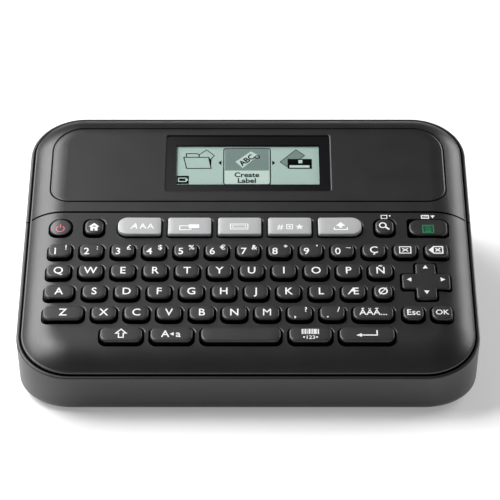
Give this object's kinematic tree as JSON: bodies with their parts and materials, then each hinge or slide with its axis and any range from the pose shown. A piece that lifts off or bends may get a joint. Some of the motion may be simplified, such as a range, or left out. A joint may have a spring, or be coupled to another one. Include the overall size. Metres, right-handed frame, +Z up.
{
  "type": "desktop label maker",
  "caption": "Wedge-shaped desktop label maker with a full keyboard, a window over a pale screen, a four-way pad and a hinged tape door in its sloping back.",
  "frame": {"origin": "on the table under the middle of the case, at the feet", "axes": "+X to the user's right, +Y away from the user, +Z up"},
  "size_m": [0.188, 0.1764, 0.0729],
  "materials": {
    "case_plastic": "fine-grained satin moulded black",
    "key_plastic": "satin black cap",
    "silver_key": "satin silver paint on plastic",
    "lens": "glossy clear window with a black border",
    "window": "clear moulded pane",
    "screen": "pale grey-green liquid crystal screen",
    "rubber": "soft black rubber",
    "board": "green circuit board",
    "chassis_plastic": "dark grey moulded chassis",
    "cassette_plastic": "grey moulded cassette",
    "gear_plastic": "off-white acetal",
    "steel": "bright sheet or turned steel",
    "heat_sink": "bare aluminium plate",
    "socket_plastic": "black socket body",
    "cell": "plain wrapped cell"
  },
  "bodies": {
    "root": {"lower_case": "case_plastic", "rear_case": "case_plastic", "keyboard_deck": "case_plastic", "display_housing": "case_plastic", "display_panel": "case_plastic", "display_lens": "lens", "lcd_module": "screen", "keypad_mat": "rubber", "keypad_board": "board", "cover_hinge_pin": "steel", "tape_bay": "chassis_plastic", "tape_cassette": "cassette_plastic", "drive_motor": "steel", "gear_plate": "chassis_plastic", "cutter_frame": "steel", "main_board": "board", "dc_jack": "socket_plastic", "usb_port": "steel", "battery_cells": "cell", "battery_contacts": "steel", "rubber_feet": "rubber", "case_screws": "steel"},
    "tape_door": {"tape_cover": "case_plastic", "tape_window": "window"},
    "battery_door": {"battery_cover": "case_plastic"},
    "head": {"print_head": "heat_sink"},
    "ribbon": {"ribbon_spindle": "gear_plastic"},
    "platen": {"platen_roller": "rubber"},
    "reduction": {"reduction_gear": "gear_plastic"},
    "pinion": {"motor_pinion": "gear_plastic"},
    "cutter": {"cutter_blade": "steel"},
    "pad_base": {"pad_pivot": "rubber"},
    "pad": {"arrow_pad": "key_plastic"},
    "power_press": {"power_key": "key_plastic"},
    "home_press": {"home_key": "key_plastic"},
    "font_press": {"font_key": "silver_key"},
    "layout_press": {"layout_key": "silver_key"},
    "frame_press": {"frame_key": "silver_key"},
    "symbol_press": {"symbol_key": "silver_key"},
    "file_press": {"file_key": "silver_key"},
    "search_press": {"search_key": "key_plastic"},
    "print_press": {"print_key": "key_plastic"},
    "shift_press": {"shift_key": "key_plastic"},
    "caps_press": {"caps_key": "key_plastic"},
    "space_press": {"space_key": "key_plastic"},
    "barcode_press": {"barcode_key": "key_plastic"},
    "enter_press": {"enter_key": "key_plastic"},
    "accent_press": {"accent_key": "key_plastic"},
    "escape_press": {"escape_key": "key_plastic"},
    "ok_press": {"ok_key": "key_plastic"},
    "clear_press": {"clear_key": "key_plastic"},
    "backspace_press": {"backspace_key": "key_plastic"},
    "number_row_press": {"number_row_keys": "key_plastic"},
    "top_row_press": {"top_row_keys": "key_plastic"},
    "middle_row_press": {"middle_row_keys": "key_plastic"},
    "lower_row_press": {"lower_row_keys": "key_plastic"}
  },
  "joints": [
    {"name": "tape_door_hinge", "type": "hinge", "parent": "root", "child": "tape_door", "pos_m": [0, 0.08424, 0.01037], "axis": [-1, 0, 0], "range_deg": [0, 95]},
    {"name": "battery_door_hinge", "type": "hinge", "parent": "root", "child": "battery_door", "pos_m": [0, -0.0644, 0.0022], "axis": [-1, 0, 0], "range_deg": [0, 60]},
    {"name": "cutter_drop", "type": "slide", "parent": "root", "child": "cutter", "axis": [0, 0.524, -0.8517], "range_m": [0, 0.005]},
    {"name": "ribbon_spin", "type": "hinge", "parent": "root", "child": "ribbon", "pos_m": [-0.01471, 0.03865, 0.02532], "axis": [0, 0.8517, 0.524], "continuous": true},
    {"name": "platen_spin", "type": "hinge", "parent": "root", "child": "platen", "pos_m": [-0.038, 0.03561, 0.03026], "axis": [0, 0.8517, 0.524], "continuous": true},
    {"name": "reduction_spin", "type": "hinge", "parent": "root", "child": "reduction", "pos_m": [-0.05004, 0.02724, 0.04387], "axis": [0, 0.8517, 0.524], "continuous": true},
    {"name": "pinion_spin", "type": "hinge", "parent": "root", "child": "pinion", "pos_m": [-0.06345, 0.03254, 0.03526], "axis": [0, 0.8517, 0.524], "continuous": true},
    {"name": "head_lift", "type": "hinge", "parent": "root", "child": "head", "pos_m": [-0.0495, 0.03581, 0.04483], "axis": [0, -0.8517, -0.524], "range_deg": [0, 6.1]},
    {"name": "pad_tilt_sideways", "type": "hinge", "parent": "root", "child": "pad_base", "pos_m": [0.07285, -0.04637, 0.03771], "axis": [0, 0.9367, 0.3502], "range_deg": [-2.5, 2.5], "stiffness_Nm_per_rad": 0.1},
    {"name": "pad_tilt_up_down", "type": "hinge", "parent": "pad_base", "child": "pad", "pos_m": [0.07285, -0.04637, 0.03771], "axis": [1, 0, 0], "range_deg": [-2.5, 2.5], "stiffness_Nm_per_rad": 0.1},
    {"name": "power_travel", "type": "slide", "parent": "root", "child": "power_press", "axis": [0, 0.3502, -0.9367], "range_m": [0, 0.0012], "stiffness_N_per_m": 400, "springref_m": -0.0015},
    {"name": "home_travel", "type": "slide", "parent": "root", "child": "home_press", "axis": [0, 0.3502, -0.9367], "range_m": [0, 0.0012], "stiffness_N_per_m": 400, "springref_m": -0.0015},
    {"name": "font_travel", "type": "slide", "parent": "root", "child": "font_press", "axis": [0, 0.3502, -0.9367], "range_m": [0, 0.0012], "stiffness_N_per_m": 400, "springref_m": -0.0015},
    {"name": "layout_travel", "type": "slide", "parent": "root", "child": "layout_press", "axis": [0, 0.3502, -0.9367], "range_m": [0, 0.0012], "stiffness_N_per_m": 400, "springref_m": -0.0015},
    {"name": "frame_travel", "type": "slide", "parent": "root", "child": "frame_press", "axis": [0, 0.3502, -0.9367], "range_m": [0, 0.0012], "stiffness_N_per_m": 400, "springref_m": -0.0015},
    {"name": "symbol_travel", "type": "slide", "parent": "root", "child": "symbol_press", "axis": [0, 0.3502, -0.9367], "range_m": [0, 0.0012], "stiffness_N_per_m": 400, "springref_m": -0.0015},
    {"name": "file_travel", "type": "slide", "parent": "root", "child": "file_press", "axis": [0, 0.3502, -0.9367], "range_m": [0, 0.0012], "stiffness_N_per_m": 400, "springref_m": -0.0015},
    {"name": "search_travel", "type": "slide", "parent": "root", "child": "search_press", "axis": [0, 0.3502, -0.9367], "range_m": [0, 0.0012], "stiffness_N_per_m": 400, "springref_m": -0.0015},
    {"name": "print_travel", "type": "slide", "parent": "root", "child": "print_press", "axis": [0, 0.3502, -0.9367], "range_m": [0, 0.0012], "stiffness_N_per_m": 400, "springref_m": -0.0015},
    {"name": "shift_travel", "type": "slide", "parent": "root", "child": "shift_press", "axis": [0, 0.3502, -0.9367], "range_m": [0, 0.0012], "stiffness_N_per_m": 400, "springref_m": -0.0015},
    {"name": "caps_travel", "type": "slide", "parent": "root", "child": "caps_press", "axis": [0, 0.3502, -0.9367], "range_m": [0, 0.0012], "stiffness_N_per_m": 400, "springref_m": -0.0015},
    {"name": "space_travel", "type": "slide", "parent": "root", "child": "space_press", "axis": [0, 0.3502, -0.9367], "range_m": [0, 0.0012], "stiffness_N_per_m": 400, "springref_m": -0.0015},
    {"name": "barcode_travel", "type": "slide", "parent": "root", "child": "barcode_press", "axis": [0, 0.3502, -0.9367], "range_m": [0, 0.0012], "stiffness_N_per_m": 400, "springref_m": -0.0015},
    {"name": "enter_travel", "type": "slide", "parent": "root", "child": "enter_press", "axis": [0, 0.3502, -0.9367], "range_m": [0, 0.0012], "stiffness_N_per_m": 400, "springref_m": -0.0015},
    {"name": "accent_travel", "type": "slide", "parent": "root", "child": "accent_press", "axis": [0, 0.3502, -0.9367], "range_m": [0, 0.0012], "stiffness_N_per_m": 400, "springref_m": -0.0015},
    {"name": "escape_travel", "type": "slide", "parent": "root", "child": "escape_press", "axis": [0, 0.3502, -0.9367], "range_m": [0, 0.0012], "stiffness_N_per_m": 400, "springref_m": -0.0015},
    {"name": "ok_travel", "type": "slide", "parent": "root", "child": "ok_press", "axis": [0, 0.3502, -0.9367], "range_m": [0, 0.0012], "stiffness_N_per_m": 400, "springref_m": -0.0015},
    {"name": "clear_travel", "type": "slide", "parent": "root", "child": "clear_press", "axis": [0, 0.3502, -0.9367], "range_m": [0, 0.0012], "stiffness_N_per_m": 400, "springref_m": -0.0015},
    {"name": "backspace_travel", "type": "slide", "parent": "root", "child": "backspace_press", "axis": [0, 0.3502, -0.9367], "range_m": [0, 0.0012], "stiffness_N_per_m": 400, "springref_m": -0.0015},
    {"name": "number_row_travel", "type": "slide", "parent": "root", "child": "number_row_press", "axis": [0, 0.3502, -0.9367], "range_m": [0, 0.0012], "stiffness_N_per_m": 400, "springref_m": -0.0015},
    {"name": "top_row_travel", "type": "slide", "parent": "root", "child": "top_row_press", "axis": [0, 0.3502, -0.9367], "range_m": [0, 0.0012], "stiffness_N_per_m": 400, "springref_m": -0.0015},
    {"name": "middle_row_travel", "type": "slide", "parent": "root", "child": "middle_row_press", "axis": [0, 0.3502, -0.9367], "range_m": [0, 0.0012], "stiffness_N_per_m": 400, "springref_m": -0.0015},
    {"name": "lower_row_travel", "type": "slide", "parent": "root", "child": "lower_row_press", "axis": [0, 0.3502, -0.9367], "range_m": [0, 0.0012], "stiffness_N_per_m": 400, "springref_m": -0.0015}
  ],
  "couplings": [
    {"joint": "platen_spin", "follows": "ribbon_spin", "ratio": -2},
    {"joint": "reduction_spin", "follows": "ribbon_spin", "ratio": 1.3333},
    {"joint": "pinion_spin", "follows": "ribbon_spin", "ratio": -3.3333},
    {"joint": "head_lift", "follows": "tape_door_hinge", "ratio": 0.063158}
  ]
}
